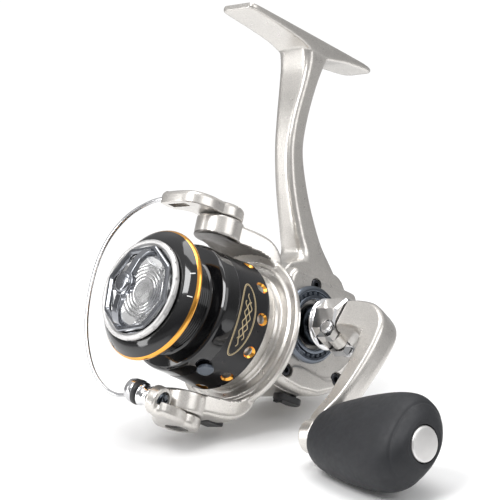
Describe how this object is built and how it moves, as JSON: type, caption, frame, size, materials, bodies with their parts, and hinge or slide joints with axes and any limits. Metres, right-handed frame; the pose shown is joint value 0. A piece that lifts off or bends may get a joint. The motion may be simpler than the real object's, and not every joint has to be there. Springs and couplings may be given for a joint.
{
  "type": "spinning reel",
  "caption": "Open-face fixed-spool spinning reel with foot, folding crank handle, slotted black spool, rotor with full bail and front drag knob.",
  "frame": {"origin": "middle of the foot's flat top face, where the reel meets the rod's seat", "axes": "+Z out of the foot's flat top, towards the rod; -Y along the spool shaft towards the drag knob at the front; +X towards the handle"},
  "size_m": [0.1046, 0.083, 0.1329],
  "materials": {
    "silver_paint": "satin champagne silver paint with fine metallic flake",
    "black_anodised": "gloss black anodised",
    "bright_chrome": "polished",
    "dark_chrome": "dark polished chrome",
    "ground_steel": "fine ground",
    "gear_brass": "machined",
    "gear_zinc": "die-cast zinc, greased",
    "grip_rubber": "soft matte charcoal",
    "black_plastic": "satin black",
    "washer_felt": "pressed felt",
    "black_screw": "black oxide"
  },
  "bodies": {
    "frame": {"body_frame": "silver_paint", "side_cover": "silver_paint", "cover_screw_top": "black_screw", "cover_screw_front": "black_screw", "cover_screw_rear": "black_screw", "boss_ring": "dark_chrome", "left_cap": "silver_paint", "pinion_bearing": "ground_steel", "oneway_clutch": "ground_steel", "drive_bearing_right": "ground_steel", "drive_bearing_left": "ground_steel", "guide_rod": "ground_steel"},
    "antireverse": {"antireverse_lever": "black_plastic"},
    "crank": {"drive_gear": "gear_brass", "crank_shaft": "bright_chrome", "fold_pin": "ground_steel"},
    "handle": {"handle_arm": "silver_paint", "knob_post": "ground_steel"},
    "knob": {"knob_grip": "grip_rubber", "knob_cap": "ground_steel", "knob_bush": "black_plastic"},
    "rotor": {"rotor": "silver_paint", "pinion_gear": "gear_brass", "rotor_nut": "ground_steel", "arm_cover_far": "silver_paint", "arm_cover_roller": "black_plastic", "bail_spring": "ground_steel", "pivot_screw_far": "ground_steel", "pivot_screw_roller": "ground_steel"},
    "bail": {"far_arm": "silver_paint", "roller_arm": "silver_paint", "bail_wire": "ground_steel", "roller_screw": "dark_chrome", "roller_bush": "black_plastic"},
    "roller": {"line_roller": "bright_chrome"},
    "shaft": {"main_shaft": "ground_steel", "oscillation_slider": "gear_zinc", "slider_screw": "ground_steel", "drag_washer_metal": "ground_steel"},
    "spool": {"spool": "black_anodised", "line_clip": "black_plastic", "drag_washer_felt": "washer_felt", "drag_retainer": "ground_steel", "click_gear": "black_plastic"},
    "drag": {"drag_knob": "bright_chrome", "drag_knob_trim": "dark_chrome", "drag_nut": "ground_steel", "drag_spring": "ground_steel"},
    "osc": {"oscillation_gear": "gear_zinc"}
  },
  "joints": [
    {"name": "crank_turn", "type": "hinge", "parent": "frame", "child": "crank", "pos_m": [0, 0.0143, -0.0818], "axis": [1, 0, 0], "continuous": true},
    {"name": "rotor_spin", "type": "hinge", "parent": "frame", "child": "rotor", "pos_m": [0, -0.0086, -0.0884], "axis": [0, 1, 0], "continuous": true},
    {"name": "osc_turn", "type": "hinge", "parent": "frame", "child": "osc", "pos_m": [0, 0.0263, -0.0864], "axis": [1, 0, 0], "continuous": true},
    {"name": "spool_stroke", "type": "slide", "parent": "frame", "child": "shaft", "axis": [0, 1, 0], "range_m": [-0.0005, 0.0055]},
    {"name": "spool_slip", "type": "hinge", "parent": "shaft", "child": "spool", "pos_m": [0, -0.0186, -0.0884], "axis": [0, 1, 0], "continuous": true},
    {"name": "drag_turn", "type": "hinge", "parent": "shaft", "child": "drag", "pos_m": [0, -0.0388, -0.0884], "axis": [0, 1, 0], "range_deg": [-270, 270]},
    {"name": "bail_open", "type": "hinge", "parent": "rotor", "child": "bail", "pos_m": [0, -0.0156, -0.0884], "axis": [0, 0, 1], "range_deg": [0, 100]},
    {"name": "roller_spin", "type": "hinge", "parent": "bail", "child": "roller", "pos_m": [-0.00009, -0.02826, -0.11491], "axis": [-0.9256, -0.2652, 0.2702], "continuous": true},
    {"name": "handle_fold", "type": "hinge", "parent": "crank", "child": "handle", "pos_m": [0.0259, 0.01243, -0.08686], "axis": [0, 0.9379, -0.3469], "range_deg": [0, 42]},
    {"name": "knob_spin", "type": "hinge", "parent": "handle", "child": "knob", "pos_m": [0.0362, 0.00101, -0.11772], "axis": [0.9986, -0.0182, -0.0491], "continuous": true},
    {"name": "antireverse_switch", "type": "hinge", "parent": "frame", "child": "antireverse", "pos_m": [0.005, 0.0204, -0.1014], "axis": [0, 0, 1], "range_deg": [0, 35]}
  ],
  "couplings": [
    {"joint": "rotor_spin", "follows": "crank_turn", "ratio": 5},
    {"joint": "osc_turn", "follows": "crank_turn", "ratio": -1}
  ]
}
